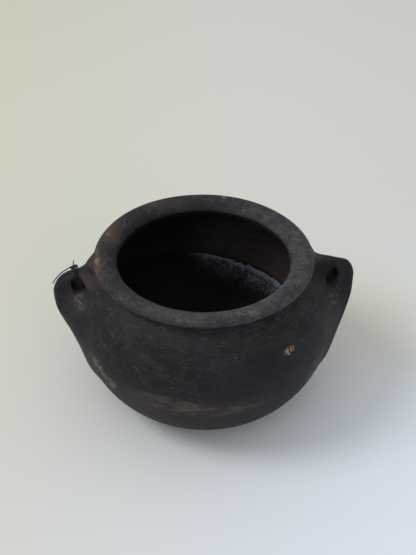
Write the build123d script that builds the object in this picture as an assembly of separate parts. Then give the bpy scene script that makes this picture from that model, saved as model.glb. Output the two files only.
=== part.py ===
"""A small hand-built olla of smoked black earthenware.

The pot stands on the plane Z = 0 with its mouth upwards and its two pierced
ear lugs along X. Its wall is a moulded bowl, three ropes of clay and a turned
out rim, each luted to the one below along a bevelled seam. A scrap of twine
is tied round the bar of the left lug. All lengths are in millimetres.
"""

import os
from math import asin, degrees, radians, sin, sqrt, tan

from build123d import *

# Wall of the pot
pot_height = 96.5
belly_radius = 76.0
belly_height = 56.0
foot_radius = 35.0
floor_thickness = 6.5
wall_thickness = 6.0
shoulder_centre_radius = 43.5

# Neck and turned out rim
lip_crest_radius = 59.5
lip_width = 9.5
lip_outer_width = 3.0
lip_outer_drop = 4.4
lip_inner_drop = 5.0
neck_radius = 59.7
neck_drop = 9.0
throat_undercut = 1.1
lip_under_angle = 50.0
lip_slope_shares = ((0.50, 0.26), (0.84, 0.56))

# Seams between the pieces of the wall
bowl_rim_height = 44.0
coil_names = ("belly_coil", "shoulder_coil", "neck_coil")
rim_seam_drop = 13.0
bevel_rise = 4.0
slip_thickness = 0.2

# Ear lugs, pinched out on both sides, the right one fuller than the left
lug_root_sink = 1.7
right_tip_reach = 12.7
right_tip_drop = 23.0
right_crown = 15.5
right_fall = 51.5
left_tip_reach = 13.5
left_tip_drop = 23.5
left_crown = 15.5
left_fall = 49.0
lug_edge_width = 34.0
lug_bar_width = 11.0

# Places along a lug from its root to its tip, with the widths of its bar and
# of its outer edge as shares of the two widths above
lug_place_shares = (0.00, 0.40, 0.59, 0.72, 0.85, 0.955, 0.99)
lug_bar_shares = (1.64, 1.23, 1.00, 0.93, 0.84, 0.66, 0.42)
lug_edge_shares = (1.53, 1.35, 1.00, 0.65, 0.42, 0.26, 0.15)

# Heights of the upper and lower edge at those places, as shares of the crown
# above the tip and of the fall below it
right_top_shares = (1.00, 0.95, 0.91, 0.86, 0.76, 0.48, 0.30)
right_bottom_shares = (0.90, 0.98, 0.92, 0.78, 0.52, 0.23, 0.13)
left_top_shares = (1.00, 0.88, 0.78, 0.73, 0.52, 0.22, 0.10)
left_bottom_shares = (0.90, 0.97, 0.82, 0.64, 0.45, 0.25, 0.15)

# Eyes of the lugs, placed from the tips
right_eye_inset = 15.1
right_eye_lift = 5.2
right_eye_width = 6.8
right_eye_tall = 11.0
left_eye_inset = 16.3
left_eye_lift = 5.6
left_eye_width = 7.5
left_eye_tall = 9.0
eye_flare = 3.0
eye_depth = 20.0

# Twine, one thin cord tied twice round the bar of the left lug. Its route
# starts at the short end above the knot and ends in the curl of the long end.
# Route and knot are counted from the top of the left eye.
twine_diameter = 0.7
twine_route = (
    (-2.4, 2.2, 8.1),
    (-2.7, 1.2, 5.8),
    (-3.1, -1.2, 4.1),
    (-2.8, -4.5, 3.3),
    (-2.4, -6.2, 0.3),
    (-2.2, -4.8, -2.3),
    (-2.0, 0.0, -2.6),
    (-1.9, 4.8, -2.2),
    (-1.8, 6.2, 0.4),
    (-1.7, 4.5, 3.3),
    (-1.5, 0.0, 3.8),
    (-1.4, -4.5, 3.3),
    (-1.2, -5.9, 0.6),
    (-1.0, -4.7, -1.9),
    (-0.8, 0.0, -2.3),
    (-0.7, 4.7, -1.8),
    (-0.9, 6.0, 0.7),
    (-1.6, 4.7, 3.4),
    (-3.4, 1.8, 4.2),
    (-6.2, 0.4, 3.5),
    (-9.4, -0.2, 1.8),
    (-12.2, -0.8, -0.7),
    (-14.1, -1.6, -2.9),
    (-15.4, -3.6, -3.9),
)
bend_share = 0.45
knot_place = (-3.0, 0.4, 4.1)
knot_length = 4.6
knot_height = 2.4

lip_widest_height = pot_height - lip_outer_drop
neck_height = pot_height - neck_drop
mouth_radius = lip_crest_radius - lip_width
throat_radius = mouth_radius + throat_undercut
inner_belly_radius = belly_radius - wall_thickness
seam_span = pot_height - rim_seam_drop - bowl_rim_height
lug_root_radius = neck_radius - lug_root_sink
right_tip_radius = belly_radius + right_tip_reach
right_tip_height = pot_height - right_tip_drop
left_tip_radius = belly_radius + left_tip_reach
left_tip_height = pot_height - left_tip_drop
right_eye_radius = right_tip_radius - right_eye_inset
right_eye_height = right_tip_height + right_eye_lift
left_eye_radius = left_tip_radius - left_eye_inset
left_eye_height = left_tip_height + left_eye_lift
bar_place = Vector(-left_eye_radius, 0, left_eye_height + left_eye_tall / 2)


def curve_rise(widest_radius, top_radius):
    """Half height of the shoulder ellipse that passes through its top point."""
    share = (top_radius - shoulder_centre_radius) / (widest_radius - shoulder_centre_radius)
    return (neck_height - belly_height) / sqrt(1 - share**2)


def shoulder_arc(widest_radius, top_radius):
    """Elliptical arc from the belly up to a point at the height of the neck."""
    rise = curve_rise(widest_radius, top_radius)
    turn = degrees(asin((neck_height - belly_height) / rise))
    centre = (shoulder_centre_radius, belly_height)
    return EllipticalCenterArc(centre, widest_radius - shoulder_centre_radius, rise, 0, arc_size=turn)


def bowl_arc(widest_radius, depth):
    """Elliptical quarter from the flat of the bottom up to the belly."""
    centre = (foot_radius, belly_height)
    return EllipticalCenterArc(centre, widest_radius - foot_radius, depth, -90, arc_size=90)


def body_line(grow=0.0):
    """Outside of the pot from the edge of its foot to its neck, or a line
    that stands off it by a small growth."""
    return [bowl_arc(belly_radius + grow, belly_height), shoulder_arc(belly_radius + grow, neck_radius + grow)]


def outer_line():
    """Outside of the pot from the edge of its foot to the crest of its lip."""
    body = body_line()
    centre = (lip_crest_radius, lip_widest_height)
    lip = EllipticalCenterArc(
        centre, lip_outer_width, lip_outer_drop, -lip_under_angle, arc_size=90 + lip_under_angle
    )
    return body + [Line(body[-1] @ 1, lip @ 0), lip]


def lip_top_line():
    """Top of the lip, sloping in from its crest to the mouth."""
    points = [(lip_crest_radius, pot_height)]
    for across, down in lip_slope_shares:
        points.append((lip_crest_radius - across * lip_width, pot_height - down * lip_inner_drop))
    points.append((mouth_radius, pot_height - lip_inner_drop))
    return Spline(points, tangents=[(-1, 0), (0, -1)])


def inner_line():
    """Inside of the pot from the mouth down to the edge of its flat floor."""
    shoulder = shoulder_arc(inner_belly_radius, throat_radius)
    bowl = bowl_arc(inner_belly_radius, belly_height - floor_thickness)
    throat = Line((mouth_radius, pot_height - lip_inner_drop), shoulder @ 1)
    return [throat, shoulder, bowl]


def turned(edges):
    """Solid of revolution about Z of a closed outline in radius and height."""
    return revolve(Plane.XZ * make_face(edges), Axis.Z)


def wall_face():
    """Half section through the floor, the wall and the lip."""
    floor = Line((foot_radius, floor_thickness), (0, floor_thickness))
    axis = Line((0, floor_thickness), (0, 0))
    foot = Line((0, 0), (foot_radius, 0))
    return make_face(outer_line() + [lip_top_line()] + inner_line() + [floor, axis, foot])


def lug_seat():
    """What a lug is cut to: the body without its hollow, and a drum as wide
    as the lip above the neck, both larger by the layer of slip."""
    body = body_line(slip_thickness)
    lip_radius = lip_crest_radius + lip_outer_width + slip_thickness
    corners = [(lip_radius, neck_height), (lip_radius, pot_height), (0, pot_height), (0, 0), (foot_radius, 0)]
    return turned(body + [Polyline([body[-1] @ 1] + corners)])


def wall_middle(height):
    """Radius of the middle of the wall at a height."""
    if height < belly_height:
        outer = 1 - ((belly_height - height) / belly_height) ** 2
        middle = foot_radius + (belly_radius - foot_radius) * sqrt(outer) - wall_thickness / 2
        return middle
    radii = []
    for widest, top in ((belly_radius, neck_radius), (inner_belly_radius, throat_radius)):
        share = (height - belly_height) / curve_rise(widest, top)
        across = widest - shoulder_centre_radius
        radii.append(shoulder_centre_radius + across * sqrt(1 - share**2))
    return sum(radii) / 2


def above_seam(height, lift):
    """Region of the half section above the bevelled seam at a height."""
    middle = wall_middle(height)
    slope = bevel_rise / wall_thickness
    inner = middle - 2 * wall_thickness
    outer = 2 * belly_radius
    top = 2 * pot_height
    inner_height = height + lift + slope * (inner - middle)
    outer_height = height + lift + slope * (outer - middle)
    corners = [(inner, inner_height), (outer, outer_height), (outer, top), (0, top), (0, inner_height)]
    return make_face(Polyline(corners, close=True))


def wall_pieces():
    """The bowl, the coils and the rim, cut from one section along the seams."""
    names = ("lower_bowl",) + coil_names + ("rim_coil",)
    step = seam_span / len(coil_names)
    seams = [bowl_rim_height + step * place for place in range(len(coil_names) + 1)]
    section = wall_face()
    pieces = {}
    for place, name in enumerate(names):
        face = section
        if place > 0:
            face = face & above_seam(seams[place - 1], slip_thickness / 2)
        if place < len(seams):
            face = face - above_seam(seams[place], -slip_thickness / 2)
        pieces[name] = revolve(Plane.XZ * face, Axis.Z)
    return pieces


def lug_section(radius, top, bottom, bar_width, edge_width):
    """Upright section of a lug: a small arc above, a larger one below, and the
    two lines that touch both."""
    small = bar_width / 2
    large = edge_width / 2
    upper = top - small
    lower = bottom + large
    lean = asin((large - small) / (upper - lower))
    across = sqrt(1 - sin(lean) ** 2)
    side_top = (small * across, upper + small * sin(lean))
    side_bottom = (large * across, lower + large * sin(lean))
    crown = ThreePointArc(side_top, (0, top), (-side_top[0], side_top[1]))
    left = Line(crown @ 1, (-side_bottom[0], side_bottom[1]))
    keel = ThreePointArc(left @ 1, (0, bottom), side_bottom)
    right = Line(side_bottom, side_top)
    plane = Plane(origin=(radius, 0, 0), x_dir=(0, 1, 0), z_dir=(1, 0, 0))
    return plane * make_face([crown, left, keel, right])


def lug_ear(tip_radius, tip_height, crown_heights, fall_heights):
    """The ear as it is pinched out, from inside the wall to its blunt tip."""
    reach = tip_radius - lug_root_radius
    sections = []
    table = zip(lug_place_shares, lug_bar_shares, lug_edge_shares, crown_heights, fall_heights)
    for along, bar, edge, rise, drop in table:
        radius = lug_root_radius + along * reach
        widths = (bar * lug_bar_width, edge * lug_edge_width)
        sections.append(lug_section(radius, tip_height + rise, tip_height - drop, *widths))
    return loft(sections)


def eye_cutter(radius, height, width, tall):
    """Eye from front to back, waisted in the middle and flared at both faces."""
    slots = []
    for side in (-1, 0, 1):
        spread = abs(side) * eye_flare
        slot = SlotOverall(tall + spread, width + spread, rotation=90)
        plane = Plane(origin=(radius, side * eye_depth, height), x_dir=(1, 0, 0), z_dir=(0, -1, 0))
        slots.append(plane * slot)
    return loft(slots)


def lug(tip_radius, tip_height, crown_heights, fall_heights, eye):
    """One lug on the side of +X, cut to the wall and the rim it is luted to."""
    ear = lug_ear(tip_radius, tip_height, crown_heights, fall_heights)
    return ear - lug_seat() - eye_cutter(*eye)


def right_lug():
    """The lug on the side of +X."""
    crown = [share * right_crown for share in right_top_shares]
    fall = [share * right_fall for share in right_bottom_shares]
    eye = (right_eye_radius, right_eye_height, right_eye_width, right_eye_tall)
    return lug(right_tip_radius, right_tip_height, crown, fall, eye)


def left_lug():
    """The lug on the side of -X, made like the other and turned over."""
    crown = [share * left_crown for share in left_top_shares]
    fall = [share * left_fall for share in left_bottom_shares]
    eye = (left_eye_radius, left_eye_height, left_eye_width, left_eye_tall)
    return mirror(lug(left_tip_radius, left_tip_height, crown, fall, eye), about=Plane.YZ)


def bend_radius(before, corner, after):
    """Largest radius that the two runs at a corner of the route allow."""
    one = Vector(*corner) - Vector(*before)
    two = Vector(*after) - Vector(*corner)
    run = min(one.length, two.length)
    return bend_share * run / tan(radians(one.get_angle(two) / 2))


def twine():
    """The cord as straight runs and arcs, with its radii and length printed."""
    route = [tuple(bar_place + Vector(*point)) for point in twine_route]
    bends = [bend_radius(*route[place : place + 3]) for place in range(len(route) - 2)]
    path = FilletPolyline(*route, radius=bends)
    section = Plane(origin=path @ 0, z_dir=path % 0) * Circle(twine_diameter / 2)
    tube = sweep(section, path=path)
    print("twine radii", [round(bend, 1) for bend in bends])
    print("twine length", round(path.length, 1), "volume over section", round(tube.volume / section.area, 1))
    return tube


def twine_knot():
    """The hard knot, a drop that lies along the bar."""
    half = knot_height / 2
    drop = EllipticalCenterArc((0, 0), knot_length / 2, half, 0, arc_size=180)
    body = revolve(make_face([drop, Line(drop @ 1, drop @ 0)]), Axis.X)
    return Pos(bar_place + Vector(*knot_place)) * body


def main():
    os.makedirs("parts", exist_ok=True)
    pieces = wall_pieces()
    pieces["right_lug"] = right_lug()
    pieces["left_lug"] = left_lug()
    pieces["twine"] = twine()
    pieces["twine_knot"] = twine_knot()
    for name, piece in pieces.items():
        export_step(piece, f"parts/{name}.step")


main()
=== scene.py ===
"""Dresses a small hand-built olla of smoked black earthenware.

The clay is a set of surfaces of two parameters: the five ropes of the wall are
outlines carried round the axis, and each ear lug is a ring of rays round its
eye, drawn to the place where a blended distance field is nought. One smooth
field then bends all of them alike, so that the joints stay closed.
"""

import math

import bmesh
import bpy
import numpy as np
from bpy.props import FloatProperty, FloatVectorProperty, PointerProperty
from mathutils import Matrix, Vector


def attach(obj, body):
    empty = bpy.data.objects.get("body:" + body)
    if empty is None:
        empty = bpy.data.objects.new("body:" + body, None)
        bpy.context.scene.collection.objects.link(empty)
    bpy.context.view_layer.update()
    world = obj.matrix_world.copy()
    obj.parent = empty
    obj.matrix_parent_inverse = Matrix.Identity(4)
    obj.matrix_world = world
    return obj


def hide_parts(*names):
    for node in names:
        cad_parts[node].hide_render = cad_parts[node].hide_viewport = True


bl_info = {
    "name": "Smoked olla",
    "version": (1, 0, 0),
    "blender": (4, 5, 0),
    "location": "View3D > Sidebar > Olla",
    "description": "Builds the clay, the twine and the stage of a small ear-lugged olla",
    "category": "Object",
}

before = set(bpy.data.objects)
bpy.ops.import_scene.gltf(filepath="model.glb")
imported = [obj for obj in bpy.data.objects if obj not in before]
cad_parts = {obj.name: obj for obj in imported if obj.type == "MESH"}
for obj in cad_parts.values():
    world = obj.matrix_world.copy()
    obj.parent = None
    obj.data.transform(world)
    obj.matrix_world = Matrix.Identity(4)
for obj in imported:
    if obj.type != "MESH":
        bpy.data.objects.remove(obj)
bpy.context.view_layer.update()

MM = 0.001

# Sizes of the wall, in millimetres
POT_HEIGHT = 96.5
BELLY_RADIUS = 76.0
BELLY_HEIGHT = 56.0
FOOT_RADIUS = 35.0
FLOOR_THICKNESS = 6.5
WALL_THICKNESS = 6.0
SHOULDER_CENTRE = 43.5
LIP_CREST = 59.5
LIP_WIDTH = 9.5
LIP_OUTER_WIDTH = 4.0
LIP_OUTER_DROP = 3.0
LIP_INNER_DROP = 5.0
NECK_RADIUS = 59.7
NECK_HEIGHT = 87.5
LIP_UNDER_ANGLE = 50.0
RADIUS_UNDER_LIP = 62.2
MOUTH_RADIUS = LIP_CREST - LIP_WIDTH
MOUTH_HEIGHT = POT_HEIGHT - LIP_INNER_DROP
THROAT_RADIUS = MOUTH_RADIUS + 1.1
LIP_WIDEST_HEIGHT = POT_HEIGHT - LIP_OUTER_DROP
# Shares of the way inwards over the lip and of the fall there
LIP_SHARES = (
    (0.0, 0.0), (0.20, 0.04), (0.50, 0.26), (0.72, 0.44), (0.88, 0.64), (0.97, 0.84), (1.0, 1.0),
)
OUTLINE_STEP = 0.25
SEAM_HEIGHTS = (44.0, 44.0 + 39.5 / 3, 44.0 + 79.0 / 3, 83.5)
SEAM_SLOPE = 4.0 / 6.0
TURNED_STEPS = 384
WALL_PIECES = ("lower_bowl", "belly_coil", "shoulder_coil", "neck_coil", "rim_coil")

# Waves of the wall: size, count round the pot, shift and climb per millimetre, and
# bulges: angle and its spread, height and its spread, and how far it stands out
WAVES = ((0.40, 2, 0.7, 0.020), (0.25, 3, -1.1, -0.035), (0.20, 5, 2.0, 0.060), (0.15, 9, 0.4, 0.110))
BULGES = ((3.45, 0.55, 24.0, 13.0, 0.8), (-0.25, 0.50, 31.0, 11.0, 0.75))

# Both ear lugs: how far the edge of the root lies behind the wall and how deep it is
# sunk there, the eyes' slope and flare, and the counts and lengths of the surface
LUG_ROOT = 58.0
FEATHER_HEIGHTS = (4.0, 92.5)
FEATHER_DEPTH = 11.5
SUNK_EDGE = 0.8
BRIDGE_SAG = 2.2
EAR_CEILING = 94.0
EYE_SLANT = 0.05
EYE_FLARE = 0.35
EYE_FLARE_DEPTH = 9.0
LUG_OFFSET = 0.04
LUG_TURNS = 300
LUG_RINGS = 90
LUG_BRIDGES = 14
RAY_LEAN = 0.3
RAY_CROWDING = 0.6
RAY_LENGTH = 82.0
RAY_SAMPLES = 1641
DEEPEST_HALF = 42.0
DEPTH_SAMPLES = 281
HALVINGS = 14

# Each lug: its tip, its eye (radius, height, width, height of the opening) and, at
# places from root to tip, its upper and lower edges and the widths at both of them
LUG_PLACES = (0.00, 0.40, 0.59, 0.72, 0.85, 0.955, 0.99)
BAR_WIDTHS = (17.0, 13.0, 11.0, 10.2, 9.2, 7.3, 4.6)
EDGE_WIDTHS = (52.0, 46.5, 35.5, 24.5, 15.5, 9.3, 5.0)
RIGHT_LUG = {
    "name": "right_lug", "side": 1.0, "tip": 88.45, "eye": (73.6, 80.6, 6.8, 7.0),
    "tops": (97.0, 89.2, 87.3, 86.3, 84.8, 80.9, 78.2),
    "bottoms": (8.0, 17.0, 28.0, 37.0, 49.8, 62.4, 66.8),
}
LEFT_LUG = {
    "name": "left_lug", "side": -1.0, "tip": 89.25, "eye": (73.5, 79.7, 7.8, 7.9),
    "tops": (104.0, 87.4, 85.0, 83.7, 80.8, 76.4, 74.6),
    "bottoms": (8.0, 21.2, 36.2, 45.4, 53.0, 60.2, 63.8),
}

# Route of the twine, in millimetres, from its short end to its curl
TWINE_ROUTE = (
    (-75.6, 2.2, 91.2), (-75.9, 1.2, 88.9), (-76.3, -1.2, 87.2), (-76.0, -4.5, 86.4),
    (-75.6, -6.2, 83.4), (-75.4, -4.8, 80.8), (-75.2, 0.0, 80.5), (-75.1, 4.8, 80.9),
    (-75.0, 6.2, 83.5), (-74.9, 4.5, 86.4), (-74.7, 0.0, 86.9), (-74.6, -4.5, 86.4),
    (-74.4, -5.9, 83.7), (-74.2, -4.7, 81.2), (-74.0, 0.0, 80.8), (-73.9, 4.7, 81.3),
    (-74.1, 6.0, 83.8), (-74.8, 4.7, 86.5), (-76.6, 1.8, 87.3), (-79.4, 0.4, 86.6),
    (-82.6, -0.2, 84.9), (-85.4, -0.8, 82.4), (-87.3, -1.6, 80.2), (-88.6, -3.6, 79.2),
)
KNOT_PLACE = (-76.2, 0.4, 87.2)
KNOT_POINTS = 220
TWINE_SIDES = 14
LAY_LENGTH = 4.2

# Colours that are not on the panel
PALE_LINE = (0.058, 0.058, 0.062, 1.0)
SALT = (0.115, 0.110, 0.106, 1.0)
SCORE = (0.130, 0.122, 0.114, 1.0)
RUBBED_LIP = (0.066, 0.065, 0.068, 1.0)
# Pale of the front mouth edge: partly worn clay, partly a painted highlight
EDGE_WEAR_AND_HIGHLIGHT = (0.150, 0.145, 0.140, 1.0)
BARE_CHIP = (0.36, 0.21, 0.13, 1.0)
# Near black of the painted shade in the eyes
EYE_SHADE_BLACK = (0.0012, 0.0012, 0.0016, 1.0)
# Painted shade black of the inside where no light reaches
INSIDE_SHADE_BLACK = (0.0012, 0.0012, 0.0018, 1.0)
PALE_RIDGE = (0.085, 0.072, 0.066, 1.0)
DARK_FIBRE = (0.012, 0.012, 0.010, 1.0)
PALE_FIBRE = (0.11, 0.115, 0.085, 1.0)
# Painted shade in the grooves of the twine
GROOVE_SHADE = (0.008, 0.008, 0.007, 1.0)
# Floor colour of the painted cool window light
COOL_LIT_FLOOR = (0.695, 0.757, 0.850, 1.0)
SKY_COLOUR = (0.97, 0.985, 1.0, 1.0)

# Patches on the clay: centre and radii in millimetres, and strength
FIRE_CLOUDS = (
    ((-57.0, 25.0, 95.0), (10.0, 17.0, 11.0), 0.80),
    ((-61.0, -10.0, 92.0), (4.5, 32.0, 7.0), 0.60),
    ((-61.5, -4.0, 94.5), (1.8, 16.0, 3.0), 1.00),
    ((-20.0, 51.0, 96.0), (26.0, 6.0, 5.0), 0.30),
    ((-12.0, -72.0, 43.0), (50.0, 22.0, 9.0), 0.30),
    ((-30.0, -52.0, 28.0), (70.0, 34.0, 18.0), 0.20),
    ((-74.0, -12.0, 40.0), (7.0, 26.0, 20.0), 0.50),
    ((-71.0, -12.5, 72.5), (11.0, 10.0, 7.0), 0.26),
    ((-70.0, -10.0, 84.0), (8.0, 9.0, 5.0), 0.30),
)
WORN_PATCHES = (
    ((18.0, -55.5, 94.6), (9.0, 3.5, 2.2), 0.55),
    ((-44.0, -42.5, 91.0), (12.0, 10.0, 2.0), 0.75),
    ((-58.0, -14.0, 90.5), (7.0, 26.0, 1.6), 0.60),
    ((-65.0, -38.0, 48.0), (8.0, 12.0, 8.0), 0.90),
    ((-58.5, -47.0, 41.0), (8.0, 10.0, 7.0), 1.00),
    ((60.0, -43.0, 42.0), (13.0, 16.0, 14.0), 0.60),
    ((71.5, -13.0, 69.0), (9.0, 8.0, 4.5), 0.60),
    ((16.0, 58.5, 96.0), (2.2, 4.0, 2.0), 0.95),
    ((-54.5, -20.0, 95.0), (4.5, 11.0, 4.0), 0.20),
    ((-61.2, -2.0, 95.0), (2.2, 18.0, 2.5), 0.60),
    ((-72.0, -13.0, 73.0), (10.0, 9.0, 6.0), 0.38),
    ((-58.5, -14.0, 94.6), (2.8, 9.0, 2.5), 0.45),
    ((69.0, -13.0, 72.5), (9.0, 8.0, 4.0), 0.55),
    ((-57.5, 20.0, 95.5), (4.0, 5.0, 4.0), 0.45),
    ((57.0, 12.0, 95.5), (5.0, 8.0, 4.0), 0.35),
)
# Painted shade that darkens both eyes and the recess between the lip and the right eye
EYE_SHADOWS = (
    ((73.0, -1.0, 79.8), (6.6, 17.0, 9.2), 0.98),
    ((-73.2, 0.0, 79.5), (6.5, 9.5, 7.0), 0.98),
    ((67.5, -6.0, 82.0), (7.0, 9.0, 8.0), 0.78),
)

# Camera, in metres and degrees, and lights: place, disk and share of the key's power
CAMERA_PLACE = (-0.0234, -0.3873, 0.3741)
CAMERA_TURN = (52.53, 0.0, -3.7)
CAMERA_LENS = 53.97
LIGHT_AIM = (0.0, 0.0, 0.04)
LIGHTS = {
    "window_key": ((-1.40, -0.05, 1.65), 0.90, 1.0),
    "room_fill": ((0.70, -1.70, 1.20), 1.20, 0.20),
}


def length_value(name, description, millimetres, least=0.0):
    """A length on the panel, which is kept in metres."""
    return FloatProperty(
        name=name, description=description, default=millimetres * MM, min=least * MM, unit="LENGTH")


def colour_value(name, description, colour):
    """A colour on the panel."""
    return FloatVectorProperty(
        name=name, description=description, subtype="COLOR", size=4, default=(*colour, 1.0))


class OllaShape(bpy.types.PropertyGroup):
    """Sizes of the hand-made forms."""

    unevenness: length_value("Unevenness", "How far the wall strays from a true circle", 0.35)
    rim_fall: length_value("Rim fall", "How much lower the rim is on its right side", 1.2)
    root_blend: length_value("Root blend", "Width over which a lug flows into the wall", 14.0)
    twine_thickness: length_value("Twine thickness", "Diameter of the two-ply twine", 0.7, 0.3)


class OllaColours(bpy.types.PropertyGroup):
    """Colours of the clay, the residue and the twine."""

    smoke: colour_value("Smoke black", "Darkest colour of the smoked clay", (0.0042, 0.0042, 0.0056))
    graphite: colour_value("Graphite", "Grey of the burnished clay", (0.0142, 0.0142, 0.0178))
    worn: colour_value("Worn clay", "Tan that shows where the smoke is rubbed off", (0.190, 0.145, 0.105))
    russet: colour_value("Russet", "Red-brown of the fire clouds", (0.078, 0.046, 0.037))
    inside: colour_value("Inside", "Brown of the unburnished inside", (0.064, 0.047, 0.045))
    residue: colour_value("Residue", "Pale blue-grey crust of the old water line", (0.215, 0.232, 0.295))
    fibre: colour_value("Fibre", "Dark green-brown of the twine", (0.024, 0.024, 0.017))


class OllaStage(bpy.types.PropertyGroup):
    """Floor and light."""

    floor: colour_value("Floor", "Colour of the pale surface", (0.590, 0.565, 0.455))
    key_power: FloatProperty(
        name="Key light", description="Power of the soft window light", default=18.8, min=0.0,
        unit="POWER")
    sky: FloatProperty(
        name="Sky", description="Strength of the light from all round", default=0.735, min=0.0)


# Numbers and polylines


def smooth_table(values, places, heights):
    """Smooth curve through a table: between two places it is the cubic whose
    slopes at both ends are the means of the neighbouring runs' slopes."""
    places = np.asarray(places, float)
    heights = np.asarray(heights, float)
    runs = np.diff(heights) / np.diff(places)
    slopes = np.concatenate([runs[:1], (runs[1:] + runs[:-1]) / 2, runs[-1:]])
    values = np.clip(values, places[0], places[-1])
    index = np.clip(np.searchsorted(places, values, side="right") - 1, 0, len(runs) - 1)
    span = places[index + 1] - places[index]
    t = (values - places[index]) / span
    return (
        (1 + 2 * t) * (1 - t) ** 2 * heights[index]
        + t * (1 - t) ** 2 * span * slopes[index]
        + t**2 * (3 - 2 * t) * heights[index + 1]
        + t**2 * (t - 1) * span * slopes[index + 1]
    )


def ease(values, low, high):
    """Nought below low, one above high, and the cubic 3t^2 - 2t^3 between."""
    t = np.clip((values - low) / (high - low), 0.0, 1.0)
    return t * t * (3.0 - 2.0 * t)


def blend_min(one, two, width):
    """The lesser of two fields, rounded off where they differ by less than width."""
    near = np.maximum(width - np.abs(one - two), 0.0) / width
    return np.minimum(one, two) - near * near * width / 4.0


def evenly(points, step):
    """The same polyline with points about one step apart along it."""
    points = np.asarray(points, float)
    runs = np.hypot(*np.diff(points, axis=0).T)
    along = np.concatenate([[0.0], np.cumsum(runs)])
    places = np.linspace(0.0, along[-1], max(2, int(round(along[-1] / step)) + 1))
    return np.stack([np.interp(places, along, points[:, axis]) for axis in (0, 1)], axis=1)


def softened(points, step, spread):
    """An open outline whose corners are rounded by a running mean of bell
    shape; both of its ends stay where they are."""
    fine = evenly(points, step)
    reach = int(3 * spread / step)
    bell = np.exp(-0.5 * (np.arange(-reach, reach + 1) * step / spread) ** 2)
    bell /= bell.sum()
    first = 2 * fine[0] - fine[reach:0:-1]
    last = 2 * fine[-1] - fine[-2:-reach - 2:-1]
    padded = np.concatenate([first, fine, last])
    return np.stack([np.convolve(padded[:, axis], bell, mode="valid") for axis in (0, 1)], axis=1)


# Outline of the wall, in millimetres


def ellipse_arc(centre, across, up, start, end, count):
    """Points centre + (across cos a, up sin a) for a from start to end degrees."""
    turn = np.radians(np.linspace(start, end, count))
    return np.stack([centre[0] + across * np.cos(turn), centre[1] + up * np.sin(turn)], axis=1)


def shoulder_rise(widest, top):
    """Half height of the shoulder ellipse that passes through its top point."""
    share = (top - SHOULDER_CENTRE) / (widest - SHOULDER_CENTRE)
    return (NECK_HEIGHT - BELLY_HEIGHT) / math.sqrt(1 - share**2)


def wall_arcs(widest, top, depth):
    """Quarter ellipse from the foot to the belly and elliptical arc on to the neck."""
    rise = shoulder_rise(widest, top)
    turn = math.degrees(math.asin((NECK_HEIGHT - BELLY_HEIGHT) / rise))
    bowl = ellipse_arc((FOOT_RADIUS, BELLY_HEIGHT), widest - FOOT_RADIUS, depth, -90, 0, 160)
    shoulder = ellipse_arc((SHOULDER_CENTRE, BELLY_HEIGHT), widest - SHOULDER_CENTRE, rise, 0, turn, 100)
    return np.concatenate([bowl, shoulder[1:]])


def outer_outline():
    """Outside from the edge of the foot over the lip to the mouth, in millimetres."""
    lip = ellipse_arc(
        (LIP_CREST, LIP_WIDEST_HEIGHT), LIP_OUTER_WIDTH, LIP_OUTER_DROP, -LIP_UNDER_ANGLE, 90, 60)
    shares = np.array(LIP_SHARES)
    across = np.linspace(0.0, 1.0, 40)
    fall = smooth_table(across, shares[:, 0], shares[:, 1])
    top = np.stack([LIP_CREST - across * LIP_WIDTH, POT_HEIGHT - fall * LIP_INNER_DROP], axis=1)
    points = np.concatenate([wall_arcs(BELLY_RADIUS, NECK_RADIUS, BELLY_HEIGHT), lip, top[1:]])
    return softened(points, OUTLINE_STEP, 0.7)


def inner_outline():
    """Inside from the edge of the flat floor up to the mouth, in millimetres."""
    arcs = wall_arcs(BELLY_RADIUS - WALL_THICKNESS, THROAT_RADIUS, BELLY_HEIGHT - FLOOR_THICKNESS)
    mouth = [(MOUTH_RADIUS, MOUTH_HEIGHT)]
    return softened(np.concatenate([arcs, mouth]), OUTLINE_STEP, 0.6)


def wall_radius(height):
    """Radius of the outside at a height, of which the shoulder never falls
    below the radius under the lip."""
    rise = shoulder_rise(BELLY_RADIUS, NECK_RADIUS)
    up = np.clip((height - BELLY_HEIGHT) / rise, 0.0, 0.985)
    down = np.clip((BELLY_HEIGHT - height) / BELLY_HEIGHT, 0.0, 0.995)
    shoulder = SHOULDER_CENTRE + (BELLY_RADIUS - SHOULDER_CENTRE) * np.sqrt(1 - up**2)
    bowl = FOOT_RADIUS + (BELLY_RADIUS - FOOT_RADIUS) * np.sqrt(1 - down**2)
    return np.where(height > BELLY_HEIGHT, -blend_min(-shoulder, -RADIUS_UNDER_LIP, 2.0), bowl)


def middle_radius(height):
    """Radius of the middle of the wall, about which a seam's bevel turns."""
    return float(wall_radius(np.array(height))) - WALL_THICKNESS / 2


def cut_at_seam(outline, height):
    """Index of the first point of an outline above the bevelled seam."""
    above = outline[:, 1] - height - SEAM_SLOPE * (outline[:, 0] - middle_radius(height))
    return int(np.argmax(above > 0))


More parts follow.
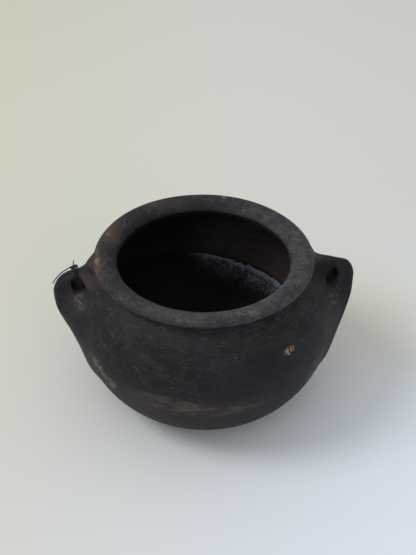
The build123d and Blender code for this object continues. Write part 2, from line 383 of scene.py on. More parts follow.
class BodyField:
    """Signed distance to the outside of the pot, taken as solid up to a plug
    in its neck, from a fine table in radius and height that is read
    bilinearly; it is negative inside."""

    step = 0.25

    def __init__(self):
        plug = MOUTH_HEIGHT - 20
        closed = np.concatenate([
            [(0.0, 0.0)], outer_outline()[::3], [(MOUTH_RADIUS, plug), (0.0, plug), (0.0, 0.0)],
        ])
        self.radii = np.arange(40.0, 102.0, self.step)
        self.heights = np.arange(4.0, 106.0, self.step)
        radius, height = np.meshgrid(self.radii, self.heights, indexing="ij")
        nearest = np.full(radius.shape, np.inf)
        inside = np.zeros(radius.shape, bool)
        for (r1, z1), (r2, z2) in zip(closed[:-1], closed[1:]):
            run = max((r2 - r1) ** 2 + (z2 - z1) ** 2, 1e-12)
            t = np.clip(((radius - r1) * (r2 - r1) + (height - z1) * (z2 - z1)) / run, 0, 1)
            away = np.hypot(radius - r1 - t * (r2 - r1), height - z1 - t * (z2 - z1))
            nearest = np.minimum(nearest, away)
            if z1 != z2:
                crosses = (z1 > height) != (z2 > height)
                at = r1 + (height - z1) * (r2 - r1) / (z2 - z1)
                inside ^= crosses & (radius < at)
        self.table = np.where(inside, -nearest, nearest)

    def __call__(self, x, y, z):
        radius = np.clip((np.hypot(x, y) - self.radii[0]) / self.step, 0, len(self.radii) - 1.001)
        height = np.clip((z - self.heights[0]) / self.step, 0, len(self.heights) - 1.001)
        i = radius.astype(int)
        j = height.astype(int)
        u = radius - i
        v = height - j
        table = self.table
        return (
            table[i, j] * (1 - u) * (1 - v) + table[i + 1, j] * u * (1 - v)
            + table[i, j + 1] * (1 - u) * v + table[i + 1, j + 1] * u * v
        )


# Ear lugs, in millimetres, worked out on the side of +X


def drop_distance(y, z, top, bottom, bar, edge):
    """Signed distance to an upright drop: a circle as wide as the bar at the
    top, one as wide as the edge at the bottom, and the lines that touch both."""
    small = bar / 2
    large = edge / 2
    span = np.maximum((top - small) - (bottom + large), 1e-3)
    lean = np.clip((large - small) / span, -0.98, 0.98)
    upright = np.sqrt(1 - lean**2)
    aside = np.abs(y)
    up = z - (bottom + large)
    along = -lean * aside + upright * up
    flank = upright * aside + lean * up - large
    low = np.hypot(aside, up) - large
    high = np.hypot(aside, up - span) - small
    return np.where(along < 0, low, np.where(along > upright * span, high, flank))


def eye_distance(x, y, z, eye):
    """Signed distance to the upright slot of an eye, which rises towards the
    back and opens towards both faces as the square of the depth, except at
    its floor."""
    radius, height, width, tall = eye
    straight = (tall - width) / 2
    up = z - height - EYE_SLANT * y
    away = np.hypot(x - radius, np.maximum(np.abs(up) - straight, 0.0)) - width / 2
    return away - EYE_FLARE * (y / EYE_FLARE_DEPTH) ** 2 * (1.0 - ease(-up, 0.0, 3.0))


def feather_depth(height):
    """How far behind the wall's outside the edge of a lug's root lies: an oval
    between its lowest and highest points, deepest in the middle."""
    low, high = FEATHER_HEIGHTS
    t = np.clip((height - (low + high) / 2) / ((high - low) / 2), -1, 1)
    return FEATHER_DEPTH * (1 - t**2) ** 0.7


def lug_field(lug, body, blend):
    """Field of one lug on the side of +X: drop-shaped sections that shrink to
    the tip, blended into the body, less the eye, with every edge rounded. The
    blend narrows to nothing at the edge of the root and under the lip, and
    the whole stands a hair out."""
    places = LUG_ROOT + np.array(LUG_PLACES) * (lug["tip"] - LUG_ROOT)

    def field(x, y, z):
        sizes = [smooth_table(x, places, lug[key]) for key in ("tops", "bottoms")]
        sizes += [smooth_table(x, places, widths) for widths in (BAR_WIDTHS, EDGE_WIDTHS)]
        ear = drop_distance(y, z, *sizes)
        ear = -blend_min(-ear, -(x - lug["tip"]), 4.0)
        ear = -blend_min(-ear, -(z - EAR_CEILING), 2.0)
        edge = np.sqrt(2 * wall_radius(z) * feather_depth(z)) + 0.5
        fade = (1 - ease(np.abs(y), 0.80 * edge, edge)) * (1 - ease(z, 82.0, 91.0))
        fade = fade * ease(z, 5.0, 14.0) * (0.55 + 0.45 * ease(z, 36.0, 66.0))
        whole = blend_min(body(x, y, z), ear, 1.0 + blend * fade)
        return -blend_min(-whole, eye_distance(x, y, z, lug["eye"]), 2.4) - LUG_OFFSET

    return field


def first_crossing(values, places):
    """Place along the last axis where a field first turns from inside to
    outside, found on the straight line between two samples."""
    outside = values > 0
    index = np.argmax(outside, axis=-1)
    index = np.where(outside.any(axis=-1), np.maximum(index, 1), values.shape[-1] - 1)
    before = np.take_along_axis(values, (index - 1)[..., None], -1)[..., 0]
    after = np.take_along_axis(values, index[..., None], -1)[..., 0]
    share = np.clip(-before / np.where(np.abs(after - before) < 1e-9, 1e-9, after - before), 0, 1)
    return places[index - 1] + share * (places[index] - places[index - 1])


def depth_of(field, x, z, way):
    """How far the field stays negative from the middle plane outwards, to the
    back where way is 1 and to the front where it is -1: first on coarse
    samples, and then halved down between two of them."""
    deep = np.linspace(0.0, DEEPEST_HALF, DEPTH_SAMPLES)
    samples = field(x[..., None], way * deep, z[..., None] + 0.0 * deep)
    samples[..., 0] = np.minimum(samples[..., 0], -1e-6)
    y = first_crossing(samples, deep)
    low = deep[np.clip((y / deep[1]).astype(int), 0, len(deep) - 2)]
    high = low + deep[1]
    for _ in range(HALVINGS):
        half = (low + high) / 2
        outside = field(x, way * half, z) > 0
        high = np.where(outside, half, high)
        low = np.where(outside, low, half)
    return np.where(y > 0.05, (low + high) / 2, y)


def lug_grid(lug, body, blend):
    """Closed grid of one lug. Rays leave the eye at all angles in the middle
    plane and lean a little with the wall. Their angles are turned by
    -c cos(angle), which draws them together downwards. Along each ray the
    surface stands as far to the front and to the back as the field stays
    negative, and the two edges behind the wall are joined through it."""
    field = lug_field(lug, body, blend)
    eye_x, eye_z, _, _ = lug["eye"]
    angle = np.linspace(0, 2 * np.pi, LUG_TURNS, endpoint=False)
    angle = (angle - RAY_CROWDING * np.cos(angle))[:, None]

    def on_ray(distance):
        z = eye_z + distance * np.sin(angle)
        lean = RAY_LEAN * (wall_radius(z) - wall_radius(np.array(eye_z)))
        return eye_x + distance * np.cos(angle) + lean, z

    reach = np.linspace(0.0, RAY_LENGTH, RAY_SAMPLES)
    x, z = on_ray(reach)
    middle = field(x, 0.0 * x, z)
    middle = np.where(reach < 1.0, 1.0, middle)
    start = first_crossing(-middle, reach)
    past = np.maximum(middle, wall_radius(z) - x - feather_depth(z))
    past = np.where(reach[None, :] < start[:, None] + 0.3, -1.0, past)
    end = first_crossing(past, reach)
    share = (1 - np.cos(np.linspace(0, np.pi, LUG_RINGS))) / 2
    x, z = on_ray(start[:, None] + (end - start)[:, None] * share)
    open_end = wall_radius(z[:, -1]) - x[:, -1] > feather_depth(z[:, -1]) - 0.2
    sheets = []
    ends = []
    for way in (1.0, -1.0):
        y = depth_of(field, x, z, way)
        y[:, 0] = 0.0
        y[:, -1] = np.where(open_end, y[:, -1], 0.0)
        wide_end = np.where(open_end, ease(y[:, -1], 0.0, 6.0), 0.0)[:, None]
        kept = 1 - SUNK_EDGE * ease(share, 0.90, 1.0) * wide_end / np.hypot(x, y)
        sheet = np.stack([x * kept, way * y * kept, z], axis=2)
        edge_x, edge_y = sheet[:, -1, 0], sheet[:, -1, 1]
        sheets.append(sheet)
        ends.append((np.hypot(edge_x, edge_y), np.arctan2(edge_y, edge_x)))
    back, front = sheets
    across = np.linspace(0, 1, LUG_BRIDGES + 2)[1:-1]
    radius, turn = [one[:, None] + (two - one)[:, None] * across for one, two in zip(*ends)]
    wide = np.minimum(ends[0][1] * ends[0][0] / 6.0, 1.0)[:, None]
    radius = radius - BRIDGE_SAG * wide * np.sin(np.pi * across)
    bridge = np.stack([radius * np.cos(turn), radius * np.sin(turn), z[:, -1:] + 0.0 * radius], axis=2)
    grid = np.concatenate([back, bridge, front[:, :0:-1]], axis=1)
    grid[..., 0] *= lug["side"]
    return grid


# Meshes


def hand_made(points, shape):
    """Bends points of the pot, in millimetres, as one smooth field: the wall
    shrinks by a few slow waves round and up it, it is fuller low on both sides,
    the lip is shifted behind and to the left, the mouth stands a little to the
    left in it, and the rim falls towards the right with a slight ripple."""
    unevenness = shape.unevenness / MM
    x, y, z = np.moveaxis(points, -1, 0)
    turn = np.arctan2(y, x)
    waves = sum(size * np.cos(count * turn + shift + climb * z) for size, count, shift, climb in WAVES)
    radius = np.maximum(np.hypot(x, y), 1e-6)
    shrink = unevenness * (waves - 1.0) * ease(z, 4.0, 40.0) * (1 - 0.7 * ease(z, 84.0, 91.0))
    shrink = shrink * (1 - ease(radius, 77.0, 85.0))
    shrink = shrink + 0.9 * np.cos(turn - 2.4) * ease(z, 86.0, 91.0) * ease(radius, 55.0, 61.0)
    for where, width, height, tall, bulge in BULGES:
        aside = (np.mod(turn - where + np.pi, 2 * np.pi) - np.pi) / width
        shrink = shrink + bulge * np.exp(-aside**2 - ((z - height) / tall) ** 2) * ease(z, 0.0, 12.0)
    shrink = shrink - 0.9 * np.cos(turn) * ease(z, 82.0, 93.0) * (1 - ease(radius, 52.0, 58.0))
    near = ease(radius, 8.0, 40.0)
    factor = 1 + shrink * near / radius
    fall = shape.rim_fall / MM * (0.35 + 0.65 * x / LIP_CREST) * ease(z, 66.0, 96.0)
    ripple = 0.18 * unevenness * np.cos(7 * turn + 1.0) * ease(z, 80.0, 96.0)
    fall = np.maximum(fall + ripple + 0.2 * ease(z, 30.0, 80.0), 0.0)
    lift = np.where(radius > 66.0, 1 - ease(radius, 66.0, 74.0), 1.0)
    return np.stack([x * factor, y * factor, z - fall * lift], axis=-1)


def grid_faces(rows, columns, close_rows, close_columns):
    """Corner indices of the quads of a grid, wrapped where it is closed."""
    row = np.arange(rows if close_rows else rows - 1)
    column = np.arange(columns if close_columns else columns - 1)
    i, j = np.meshgrid(row, column, indexing="ij")
    i2 = (i + 1) % rows
    j2 = (j + 1) % columns
    corners = (i * columns + j, i2 * columns + j, i2 * columns + j2, i * columns + j2)
    return np.stack([corner.ravel() for corner in corners], axis=1)


def mesh_object(name, points, faces, values, flat=None):
    """One object at the origin from points in metres, with values on its
    points. Doubles are merged, and the faces are turned outwards where the
    enclosed volume comes out negative."""
    one, two, three = points[faces[:, 0]], points[faces[:, 1]], points[faces[:, 2]]
    four = points[faces[:, 3]]
    volume = (np.cross(one, two) * three).sum() + (np.cross(one, three) * four).sum()
    if volume < 0:
        faces = faces[:, ::-1]
    mesh = bpy.data.meshes.new(name)
    mesh.from_pydata(points, [], faces)
    mesh.polygons.foreach_set("use_smooth", np.ones(len(faces), bool) if flat is None else ~flat)
    for key, numbers in values.items():
        layer = mesh.attributes.new(key, "FLOAT", "POINT")
        layer.data.foreach_set("value", np.ascontiguousarray(numbers, np.float32))
    cleaner = bmesh.new()
    cleaner.from_mesh(mesh)
    bmesh.ops.remove_doubles(cleaner, verts=cleaner.verts, dist=1e-6)
    bmesh.ops.dissolve_degenerate(cleaner, edges=cleaner.edges, dist=1e-7)
    for edge in cleaner.edges:
        edge.smooth = len({face.smooth for face in edge.link_faces}) == 1
    cleaner.to_mesh(mesh)
    cleaner.free()
    mesh.update()
    made = bpy.data.objects.new(name, mesh)
    bpy.context.scene.collection.objects.link(made)
    return made


def turned_piece(name, outline, seams, inner, shape):
    """An outline in radius and height, carried once round the axis. It is
    closed on itself unless it starts and ends on the axis."""
    turn = np.linspace(0, 2 * np.pi, TURNED_STEPS, endpoint=False)
    radius, height = outline[:, :1], outline[:, 1:]
    points = np.stack([radius * np.cos(turn), radius * np.sin(turn), height + 0.0 * turn], axis=2)
    points = hand_made(points, shape)
    faces = grid_faces(len(outline), TURNED_STEPS, outline[0, 0] > 0, True)
    flat = np.repeat(seams[: len(faces) // TURNED_STEPS], TURNED_STEPS)
    values = {"inside": np.repeat(inner, TURNED_STEPS)}
    return mesh_object(name, points.reshape(-1, 3) * MM, faces, values, flat)


def wall_outlines():
    """Outline of each rope of the wall: up the outside, over the seam above it,
    down the inside, and back over the seam below it. With it come two marks,
    for the runs that are seams and for the points that are on the inside. The
    lowest starts and ends on the axis, and the highest has no seam above."""
    outer = outer_outline()
    inner = inner_outline()
    cuts = [(0, 0)]
    for height in SEAM_HEIGHTS:
        cuts.append((cut_at_seam(outer, height), cut_at_seam(inner, height)))
    cuts.append((len(outer) - 1, len(inner) - 1))
    outlines = []
    for place, (low, high) in enumerate(zip(cuts[:-1], cuts[1:])):
        highest = place == len(WALL_PIECES) - 1
        spacing = 0.4 if highest else 0.8
        out = evenly(outer[low[0]:high[0] + 1], spacing)
        back = evenly(inner[low[1]:high[1] + 1][::-1], spacing)
        if place == 0:
            out = np.concatenate([np.linspace((0.0, 0.0), out[0], 30)[:-1], out])
            back = np.concatenate([back, np.linspace(back[-1], (0.0, back[-1, 1]), 30)[1:]])
        above = np.empty((0, 2)) if highest else np.linspace(out[-1], back[0], 6)[1:-1]
        below = np.empty((0, 2)) if place == 0 else np.linspace(back[-1], out[0], 6)[1:-1]
        back = back[1:] if highest else back
        parts = (out, above, back, below)
        inner_marks = np.repeat([0.0, 0.0, 1.0, 0.0], [len(part) for part in parts])
        on_seam = np.repeat([False, True, False, True], [
            len(out) - 1, 0 if highest else len(above) + 1,
            len(back) - 1 + highest, 0 if place == 0 else len(below) + 1])
        outlines.append((np.concatenate(parts), on_seam, inner_marks))
    return outlines


# Materials: places are in metres, and the centres and radii of patches in millimetres


class Flow:
    """One output socket of a shader tree, which takes part in Python sums."""

    def __init__(self, tree, socket=None):
        self.tree = tree
        self.socket = socket

    def node(self, kind, settings=(), inputs=(), output=0):
        """Adds any node. Its settings are set first, and then the values or
        links of its sockets."""
        made = self.tree.nodes.new("ShaderNode" + kind)
        for key, value in dict(settings).items():
            setattr(made, key, value)
        for key, value in dict(inputs).items():
            if isinstance(value, Flow):
                self.tree.links.new(value.socket, made.inputs[key])
            else:
                made.inputs[key].default_value = value
        return Flow(self.tree, made.outputs[output])

    def feed(self, shader, key):
        """Links this value to a socket of the shader."""
        self.tree.links.new(self.socket, shader.inputs[key])

    def maths(self, operation, *others):
        """A Math node on this value and the others."""
        inputs = dict(enumerate((self,) + others))
        return self.node("Math", {"operation": operation}, inputs)

    def __add__(self, other):
        return self.maths("ADD", other)

    __radd__ = __add__

    def __sub__(self, other):
        return self.maths("SUBTRACT", other)

    def __rsub__(self, other):
        return self.node("Math", {"operation": "SUBTRACT"}, {0: other, 1: self})

    def __mul__(self, other):
        return self.maths("MULTIPLY", other)

    __rmul__ = __mul__

    def __truediv__(self, other):
        return self.maths("DIVIDE", other)

    def between(self, low, high):
        """Nought below low, one above high, and smooth between."""
        return self.node(
            "MapRange", {"interpolation_type": "SMOOTHSTEP"},
            {"Value": self, "From Min": low, "From Max": high, "To Min": 0.0, "To Max": 1.0})

    def vector(self, operation, other):
        """A Vector Math node on this vector and another."""
        return self.node("VectorMath", {"operation": operation}, {0: self, 1: other})

    def length(self):
        """Length of this vector."""
        return self.node("VectorMath", {"operation": "LENGTH"}, {0: self}, 1)

    def axes(self):
        """The three coordinates of this place as separate values."""
        return [self.node("SeparateXYZ", (), {0: self}, index) for index in range(3)]

    def joined(self, x, y, z):
        """A vector from three values."""
        return self.node("CombineXYZ", (), {0: x, 1: y, 2: z})

    def attribute(self, name):
        """A number that is stored on the points of the mesh."""
        return self.node("Attribute", {"attribute_name": name}, (), 2)

    def noise(self, scale, detail=4.0, roughness=0.55):
        """Cloudy noise from nought to one at this place."""
        return self.node("TexNoise", {"noise_dimensions": "3D"}, {
            "Vector": self, "Scale": scale, "Detail": detail, "Roughness": roughness})

    def cells(self, scale):
        """Distance from this place to the nearest of many scattered points."""
        return self.node("TexVoronoi", {"feature": "F1"}, {"Vector": self, "Scale": scale})

    def mix(self, share, one, two):
        """One colour with a share of another, by a Mix node."""
        return self.node("Mix", {"data_type": "RGBA"}, {0: share, 6: one, 7: two}, 2)

    def mixed(self, other, share):
        """This colour with a share of another."""
        return self.mix(share, self, other)

    def bump(self, strength, relief):
        """Normal of a relief whose heights are in metres."""
        return self.node("Bump", (), {"Strength": strength, "Distance": 1.0, "Height": relief})


def new_material(name, specular):
    """A fresh material, its shader, an empty flow and the place on the piece."""
    material = bpy.data.materials.new(name)
    material.use_nodes = True
    shader = material.node_tree.nodes["Principled BSDF"]
    shader.inputs["Specular IOR Level"].default_value = specular
    root = Flow(material.node_tree)
    return material, shader, root, root.node("TexCoord", (), (), 3)


def spot(place, centre, radii, ragged, low, high):
    """Mask of a patch round a centre: one in its middle, and nought outside an
    ellipsoid whose edge the ragged noise frays."""
    offset = place.vector("SUBTRACT", tuple(value * MM for value in centre))
    away = offset.vector("DIVIDE", tuple(value * MM for value in radii)).length()
    return 1.0 - (away + (ragged - 0.5) * 1.1).between(low, high)


def smoked_clay(colours):
    """Charcoal earthenware: drifting smoke, fine turning lines of the
    burnisher, worn tan patches, fire clouds, scratches and pits. Inside it is
    browner and duller, with ridges and the crust of an old water line."""
    material, shader, root, place = new_material("smoked_clay", 0.2)
    smoke, graphite, worn, russet = (
        tuple(getattr(colours, key)) for key in ("smoke", "graphite", "worn", "russet"))
    x, y, z = place.axes()
    radius = (x * x + y * y).maths("SQRT").maths("MAXIMUM", 0.004)
    inside = root.attribute("inside").between(0.35, 0.65)

    def ringed(size, height):
        """Place on a ring of that size, which draws a pattern out round the pot."""
        return root.joined(x / radius * size, y / radius * size, height)

    # Patterns: lines of the burnisher, which are weaker on the lugs, and clouds
    wobble = place.noise(38.0, 2.0) - 0.5
    lines = ringed(0.012, z + wobble * 0.004).noise(950.0, 3.0, 0.7)
    lines = lines * (1.0 - 0.45 * radius.between(0.074, 0.080))
    broad_lines = ringed(0.030, z).noise(150.0, 3.0, 0.6)
    drift = place.noise(21.0, 5.0, 0.6)
    mottle = place.noise(95.0, 5.0, 0.65)
    grain = place.noise(1000.0, 3.0, 0.7)
    speck = place.noise(420.0, 2.0, 0.5)
    ragged = place.noise(150.0, 4.0, 0.7)

    # Smoke and graphite, pale lines, salt-like specks, short scores, and a dusky
    # patch in front
    shade = drift * 0.26 + mottle * 0.18 + broad_lines * 0.20 + lines * 0.16 + grain * 0.20
    colour = root.mix(shade.between(0.425, 0.58), smoke, graphite)
    pale_lines = lines.between(0.53, 0.68) * (0.35 + 0.65 * mottle.between(0.44, 0.60))
    colour = colour.mixed(PALE_LINE, pale_lines * 0.36)
    salt = place.noise(1500.0, 2.0, 0.6).between(0.60, 0.70) * ragged.between(0.44, 0.58)
    colour = colour.mixed(SALT, salt * 0.50)
    score = ringed(0.0070, z + wobble * 0.006).noise(1900.0, 3.0, 0.6).between(0.64, 0.72)
    score = score * ragged.between(0.48, 0.60) * (1.0 - radius.between(0.074, 0.078))
    colour = colour.mixed(SCORE, score * 0.52)
    dusk = spot(place, (22.0, -66.0, 62.0), (34.0, 24.0, 26.0), ragged, 0.2, 1.2)
    colour = colour.mixed(smoke, dusk * 0.60)

    # The lip: rubbed palest to the right and in front, painted shade on its inner slope behind on the
    # left, worn specks, and a pale line along the front of the mouth that is partly wear and partly
    # painted highlight
    lip = z.between(0.0880, 0.0925) * (1.0 - inside)
    rubbed = lip * (0.30 + 0.70 * (ragged * 0.5 + grain * 0.5).between(0.42, 0.60))
    east = (x * 0.8 - y * 0.6).between(-0.050, 0.040)
    colour = colour.mixed(RUBBED_LIP, rubbed * (0.10 + 0.62 * east))
    # Painted shade: the inner slope of the lip behind on the left is darkened with smoke black
    shaded_back_left = (y * 0.7 - x * 0.7).between(-0.005, 0.045)
    inner_lip_shade = 1.0 - radius.between(0.0515, 0.0575)
    colour = colour.mixed(smoke, lip * shaded_back_left * inner_lip_shade * 0.85)
    worn_lip = lip * (mottle * 0.4 + grain * 0.6).between(0.54, 0.68)
    colour = colour.mixed(worn, worn_lip * 0.40)
    # Pale line on the inner edge of the front lip: partly worn clay, partly a painted highlight
    edge_wear_and_highlight = radius.between(0.0500, 0.0508) * (1.0 - radius.between(0.0515, 0.0535))
    edge_wear_and_highlight = edge_wear_and_highlight * lip * (0.0 - y).between(0.005, 0.045) * (ragged * 0.5 + grain * 0.5).between(0.42, 0.56)
    colour = colour.mixed(EDGE_WEAR_AND_HIGHLIGHT, edge_wear_and_highlight * 0.50)

    # Fire clouds, worn patches, the worn band low in front, the chip, and painted shade in the eyes
    cloudy = 0.55 + 0.9 * (speck - 0.25)
    for centre, radii, strength in FIRE_CLOUDS:
        cloud = spot(place, centre, radii, ragged, 0.25, 1.25) * cloudy
        colour = colour.mixed(russet, cloud * strength)
    scuffed = (mottle * 0.3 + lines * 0.4 + speck * 0.3).between(0.44, 0.60)
    for centre, radii, strength in WORN_PATCHES:
        patch = spot(place, centre, radii, ragged, 0.4, 1.0) * scuffed
        colour = colour.mixed(worn, patch * strength)
    streaks = (lines * 0.5 + broad_lines * 0.5).between(0.42, 0.60)
    band = spot(place, (-14.0, -71.0, 44.5), (46.0, 20.0, 8.5), ragged, 0.2, 1.2)
    colour = colour.mixed(worn, band * streaks * 0.28)
    chip = spot(place, (41.5, -60.0, 71.2), (5.0, 5.0, 2.7), ragged, 0.50, 0.90)
    chip = chip * place.noise(700.0, 1.0, 0.5).between(0.48, 0.54)
    colour = colour.mixed(BARE_CHIP, chip * 0.68)
    # Painted shade: both eyes and the recess beside the right eye are darkened nearly to black
    for centre, radii, strength in EYE_SHADOWS:
        eye_shade = spot(place, centre, radii, ragged * 0.3 + 0.35, 0.70, 1.0)
        colour = colour.mixed(EYE_SHADE_BLACK, eye_shade * strength)
    # Scattered specks of bare clay
    dot = (1.0 - (place.cells(210.0) + grain * 0.10).between(0.10, 0.19)) * ragged.between(0.50, 0.62)
    colour = colour.mixed(worn, dot * 0.50 * (1.0 - inside))

    # Inside: brown upper wall on the lit right side, painted shade black on the left side and on the
    # floor, and the residue below its tilted line only on the lit right side, its left part left in
    # painted shade
    ridges = root.joined(x * 0.10, y * 0.10, z + wobble * 0.006).noise(190.0, 2.0, 0.5)
    # Painted light: the upper wall is brown only on the right, which the light reaches; elsewhere it
    # stays painted shade black
    lit_east_wall = (x * 0.9 + y * 0.43).between(0.012, 0.068)
    level = z - (0.0450 - 0.16 * x) + (ragged - 0.5) * 0.0045 + (speck - 0.5) * 0.003
    upper = level.between(0.0, 0.004) * (0.05 + 0.95 * lit_east_wall)
    upper = upper * (1.0 - 0.5 * z.between(0.080, 0.088))
    brown = root.mix(upper * (0.45 + 0.9 * (mottle - 0.3)), INSIDE_SHADE_BLACK, tuple(colours.inside))
    pale_ridges = (ridges * 0.5 + lines * 0.5).between(0.54, 0.68) * upper
    brown = brown.mixed(PALE_RIDGE, pale_ridges * 0.6)
    below = 1.0 - level.between(-0.0004, 0.0004)
    fade = level.between(-0.023, 0.0)
    flakes = (mottle * 0.24 + speck * 0.26 + grain * 0.50).between(0.44, 0.56)
    crust = below * (fade * fade * (0.06 + 0.72 * flakes) + level.between(-0.0045, -0.0004) * 0.70)
    # Painted light: the residue shows only on the lit right side, and its left part stays painted shade
    lit_side_facing = (x * 0.85 + y * 0.53).between(0.026, 0.057)
    brown = brown.mixed(tuple(colours.residue), (crust * lit_side_facing).maths("MINIMUM", 1.0) * 0.9)
    colour.mixed(brown, inside).feed(shader, "Base Color")

    rough = 0.52 + 0.18 * mottle + 0.12 * grain - 0.10 * drift + 0.10 * inside + 0.2 * (crust * inside)
    rough.feed(shader, "Roughness")

    # Relief in metres
    pit = (1.0 - place.cells(330.0).between(0.06, 0.22)) * mottle.between(0.50, 0.62)
    relief = (
        lines * 0.00018 + broad_lines * 0.00045 + drift * 0.0012 + mottle * 0.00045 + grain * 0.00013
        - pit * 0.00022 + ridges * inside * 0.0007 + crust * inside * 0.0003
    )
    root.bump(1.0, relief).feed(shader, "Normal")
    return material


def old_twine(colours):
    """Old hard fibre: dark green-brown with paler hairs along its plies, and
    painted shade in the grooves between them."""
    material, shader, root, place = new_material("old_twine", 0.25)
    shader.inputs["Roughness"].default_value = 0.85
    hairs = place.noise(2600.0, 3.0, 0.7)
    drift = place.noise(330.0, 2.0)
    colour = root.mix((hairs * 0.6 + drift * 0.4).between(0.38, 0.66), DARK_FIBRE, tuple(colours.fibre))
    colour = colour.mixed(PALE_FIBRE, drift.between(0.56, 0.70) * hairs.between(0.4, 0.6) * 0.6)
    # Painted shade: darker in the grooves between the plies
    colour = colour.mixed(GROOVE_SHADE, (1.0 - root.attribute("ply")) * 0.6)
    colour.feed(shader, "Base Color")
    root.bump(0.8, hairs * 0.00008).feed(shader, "Normal")
    return material


def finish(make, colours):
    """The finish that bears the name of the function that makes it, made once."""
    return bpy.data.materials.get(make.__name__) or make(colours)


def settled(piece, material, *nodes, slot="clay"):
    """Gives a piece its finish and its place in the frame."""
    piece.data.materials.append(material)
    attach(piece, "root")
    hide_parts(*nodes)


# Twine, in metres


def spline_points(name, route):
    """Points along the smooth line whose control points are those of a route."""
    curve = bpy.data.curves.new(name, "CURVE")
    curve.dimensions = "3D"
    curve.resolution_u = 24
    spline = curve.splines.new("NURBS")
    spline.points.add(len(route) - 1)
    spline.points.foreach_set("co", np.c_[route, np.ones(len(route))].ravel())
    spline.order_u = 3
    spline.use_endpoint_u = True
    holder = bpy.data.objects.new(name, curve)
    bpy.context.scene.collection.objects.link(holder)
    bpy.context.view_layer.update()
    drawn = bpy.data.meshes.new_from_object(holder.evaluated_get(bpy.context.evaluated_depsgraph_get()))
    points = np.empty(len(drawn.vertices) * 3)
    drawn.vertices.foreach_get("co", points)
    bpy.data.meshes.remove(drawn)
    bpy.data.objects.remove(holder)
    bpy.data.curves.remove(curve)
    points = points.reshape(-1, 3)
    keep = np.concatenate([[True], np.linalg.norm(np.diff(points, axis=0), axis=1) > 1e-7])
    return points[keep]


def carried_frames(points, closed):
    """Two normals at each point of a path: the first is that of the point
    before, with its part along the new tangent taken out, and the second
    stands square to both."""
    if closed:
        before, after = points[-1:], points[:1]
    else:
        before, after = 2 * points[:1] - points[1:2], 2 * points[-1:] - points[-2:-1]
    tangent = np.concatenate([points[1:], after]) - np.concatenate([before, points[:-1]])
    tangent /= np.linalg.norm(tangent, axis=1)[:, None]
    normal = np.empty_like(points)
    carried = np.cross(tangent[0], (0.3, 0.2, 1.0))
    for index, direction in enumerate(tangent):
        carried = carried - direction * (carried @ direction)
        carried /= np.linalg.norm(carried)
        normal[index] = carried
    return normal, np.cross(tangent, normal)


def two_ply(points, thickness, lay_length, closed, taper):
    """A two-ply strand along a path: its section is a circle pinched on two
    sides, r = half (0.80 + 0.20 |cos(a - twist)|), and turns once per lay. It
    thins by the taper at both ends."""
    normal, other = carried_frames(points, closed)
    steps = np.linalg.norm(np.diff(points, axis=0), axis=1)
    along = np.concatenate([[0.0], np.cumsum(steps)])
    angle = np.linspace(0, 2 * np.pi, TWINE_SIDES, endpoint=False)
    twist = 2 * np.pi * along / lay_length
    lobes = np.abs(np.cos(angle[None, :] - twist[:, None]))
    radius = thickness / 2 * (0.80 + 0.20 * lobes)
    ends = np.minimum(along, along[-1] - along)[:, None]
    radius = radius * (1 - taper * (1 - ease(ends, 0.0, thickness * 3)))
    ring = np.cos(angle)[:, None] * normal[:, None] + np.sin(angle)[:, None] * other[:, None]
    return points[:, None] + radius[..., None] * ring, lobes


def capped_tube(name, rings, lobes, closed):
    """A tube of rings, with a point at each end unless it is closed."""
    if not closed:
        first = np.repeat(rings[:1].mean(axis=1, keepdims=True), rings.shape[1], axis=1)
        last = np.repeat(rings[-1:].mean(axis=1, keepdims=True), rings.shape[1], axis=1)
        rings = np.concatenate([first, rings, last])
        lobes = np.concatenate([lobes[:1], lobes, lobes[-1:]])
    faces = grid_faces(rings.shape[0], rings.shape[1], closed, True)
    return mesh_object(name, rings.reshape(-1, 3), faces, {"ply": lobes.ravel()})


def knot_path():
    """A trefoil (sin t + 2 sin 2t, cos t - 2 cos 2t, -sin 3t), squeezed to the
    size of the hard knot."""
    t = np.linspace(0, 2 * np.pi, KNOT_POINTS, endpoint=False)
    loops = np.stack([
        (np.sin(t) + 2 * np.sin(2 * t)) * 0.60,
        (np.cos(t) - 2 * np.cos(2 * t)) * 0.27,
        -np.sin(3 * t) * 0.78,
    ], axis=1)
    return (np.array(KNOT_PLACE) + loops) * MM


# Operators and panel


class OLLA_OT_wall(bpy.types.Operator):
    """Turn the five ropes of clay of the wall and rim"""

    bl_idname = "olla.wall"
    bl_label = "Wall and rim"

    def execute(self, context):
        scene = context.scene
        clay = finish(smoked_clay, scene.olla_colours)
        for name, (outline, seams, inner) in zip(WALL_PIECES, wall_outlines()):
            piece = turned_piece("clay_" + name, outline, seams, inner, scene.olla_shape)
            settled(piece, clay, name)
        return {"FINISHED"}


class OLLA_OT_lugs(bpy.types.Operator):
    """Pinch out the two pierced ear lugs"""

    bl_idname = "olla.lugs"
    bl_label = "Ear lugs"

    def execute(self, context):
        scene = context.scene
        clay = finish(smoked_clay, scene.olla_colours)
        body = BodyField()
        for lug in (RIGHT_LUG, LEFT_LUG):
            grid = hand_made(lug_grid(lug, body, scene.olla_shape.root_blend / MM), scene.olla_shape)
            faces = grid_faces(grid.shape[0], grid.shape[1], True, True)
            points = grid.reshape(-1, 3) * MM
            values = {"inside": np.zeros(len(points))}
            piece = mesh_object("clay_" + lug["name"], points, faces, values)
            settled(piece, clay, lug["name"])
        return {"FINISHED"}


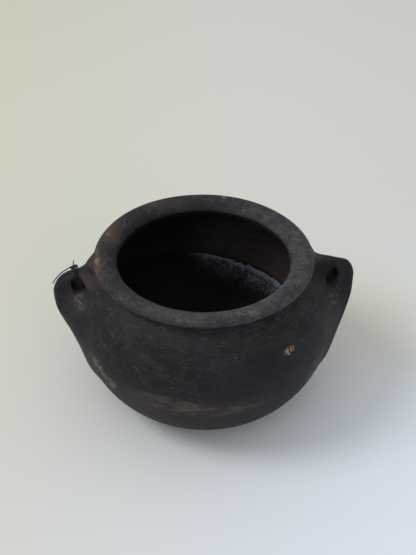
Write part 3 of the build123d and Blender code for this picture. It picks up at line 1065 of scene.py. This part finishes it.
class OLLA_OT_twine(bpy.types.Operator):
    """Tie the scrap of twine round the left lug's bar"""

    bl_idname = "olla.twine"
    bl_label = "Twine and knot"

    def execute(self, context):
        scene = context.scene
        fibre = finish(old_twine, scene.olla_colours)
        thickness = scene.olla_shape.twine_thickness
        path = spline_points("twine_route", np.array(TWINE_ROUTE) * MM)
        lay_length = LAY_LENGTH * thickness
        rings, lobes = two_ply(path, thickness, lay_length, closed=False, taper=0.35)
        strand = capped_tube("twine_strand", rings, lobes, False)
        settled(strand, fibre, "twine", slot="twine")
        rings, lobes = two_ply(knot_path(), thickness * 1.15, lay_length, closed=True, taper=0.0)
        knot = capped_tube("twine_hard_knot", rings, lobes, True)
        settled(knot, fibre, "twine_knot", slot="twine")
        return {"FINISHED"}


class OLLA_OT_stage(bpy.types.Operator):
    """Lay the pale floor and set the light and the camera"""

    bl_idname = "olla.stage"
    bl_label = "Stage"

    def execute(self, context):
        scene = context.scene
        stage = scene.olla_stage
        corners = [(x, y, 0.0) for x in (-3.0, 3.0) for y in (-3.0, 3.0)]
        mesh = bpy.data.meshes.new("pale_floor")
        mesh.from_pydata(corners, [], [(0, 2, 3, 1)])
        floor = bpy.data.objects.new("pale_floor", mesh)
        scene.collection.objects.link(floor)
        material, shader, root, place = new_material("pale_floor", 0.2)
        shader.inputs["Roughness"].default_value = 0.7
        x, y, _ = place.axes()
        # Painted light: the floor turns cool blue towards the front and right where the window light
        # falls, and a painted shadow tint keeps it warm in the pot's shadow to the right
        cool_light = (0.33 + 0.67 * (0.0 - y).between(-0.20, 0.16)) * x.between(-0.30, 0.15)
        warm_shadow_tint = spot(place, (105.0, 50.0, 0.0), (80.0, 80.0, 50.0), 0.5, 0.2, 1.2)
        cool_light = cool_light * (1.0 - warm_shadow_tint * 0.6)
        root.mix(cool_light, tuple(stage.floor), COOL_LIT_FLOOR).feed(shader, "Base Color")
        mesh.materials.append(material)

        world = bpy.data.worlds.new("soft_room")
        world.use_nodes = True
        background = world.node_tree.nodes["Background"]
        background.inputs["Color"].default_value = SKY_COLOUR
        background.inputs["Strength"].default_value = stage.sky
        scene.world = world
        for name, (where, size, share) in LIGHTS.items():
            light = bpy.data.lights.new(name, "AREA")
            light.shape = "DISK"
            light.size = size
            light.energy = stage.key_power * share
            lamp = bpy.data.objects.new(name, light)
            lamp.location = where
            reach = Vector(LIGHT_AIM) - Vector(where)
            lamp.rotation_euler = reach.to_track_quat("-Z", "Y").to_euler()
            scene.collection.objects.link(lamp)

        lens = bpy.data.cameras.new("photo_view")
        lens.sensor_width = 36.0
        lens.lens = CAMERA_LENS
        lens.clip_start = 0.01
        camera = bpy.data.objects.new("photo_view", lens)
        camera.location = CAMERA_PLACE
        camera.rotation_euler = [math.radians(angle) for angle in CAMERA_TURN]
        scene.collection.objects.link(camera)
        scene.camera = camera
        scene.view_settings.view_transform = "Standard"
        return {"FINISHED"}


class OLLA_PT_panel(bpy.types.Panel):
    """Sizes, colours and steps of the olla"""

    bl_label = "Smoked olla"
    bl_idname = "OLLA_PT_panel"
    bl_space_type = "VIEW_3D"
    bl_region_type = "UI"
    bl_category = "Olla"

    def draw(self, context):
        for name in GROUPS:
            group = getattr(context.scene, name)
            for key in group.__annotations__:
                self.layout.prop(group, key)
        for step in STEPS:
            self.layout.operator(step.bl_idname)


STEPS = (OLLA_OT_stage, OLLA_OT_twine, OLLA_OT_wall, OLLA_OT_lugs)
GROUPS = {"olla_shape": OllaShape, "olla_colours": OllaColours, "olla_stage": OllaStage}


def register():
    for made in (*GROUPS.values(), *STEPS, OLLA_PT_panel):
        bpy.utils.register_class(made)
    for key, group in GROUPS.items():
        setattr(bpy.types.Scene, key, PointerProperty(type=group))


def unregister():
    for key in GROUPS:
        delattr(bpy.types.Scene, key)
    for made in (OLLA_PT_panel, *STEPS, *GROUPS.values()):
        bpy.utils.unregister_class(made)


def main():
    register()
    for step in STEPS:
        group, action = step.bl_idname.split(".")
        getattr(getattr(bpy.ops, group), action)()


if __name__ == "__main__":
    main()
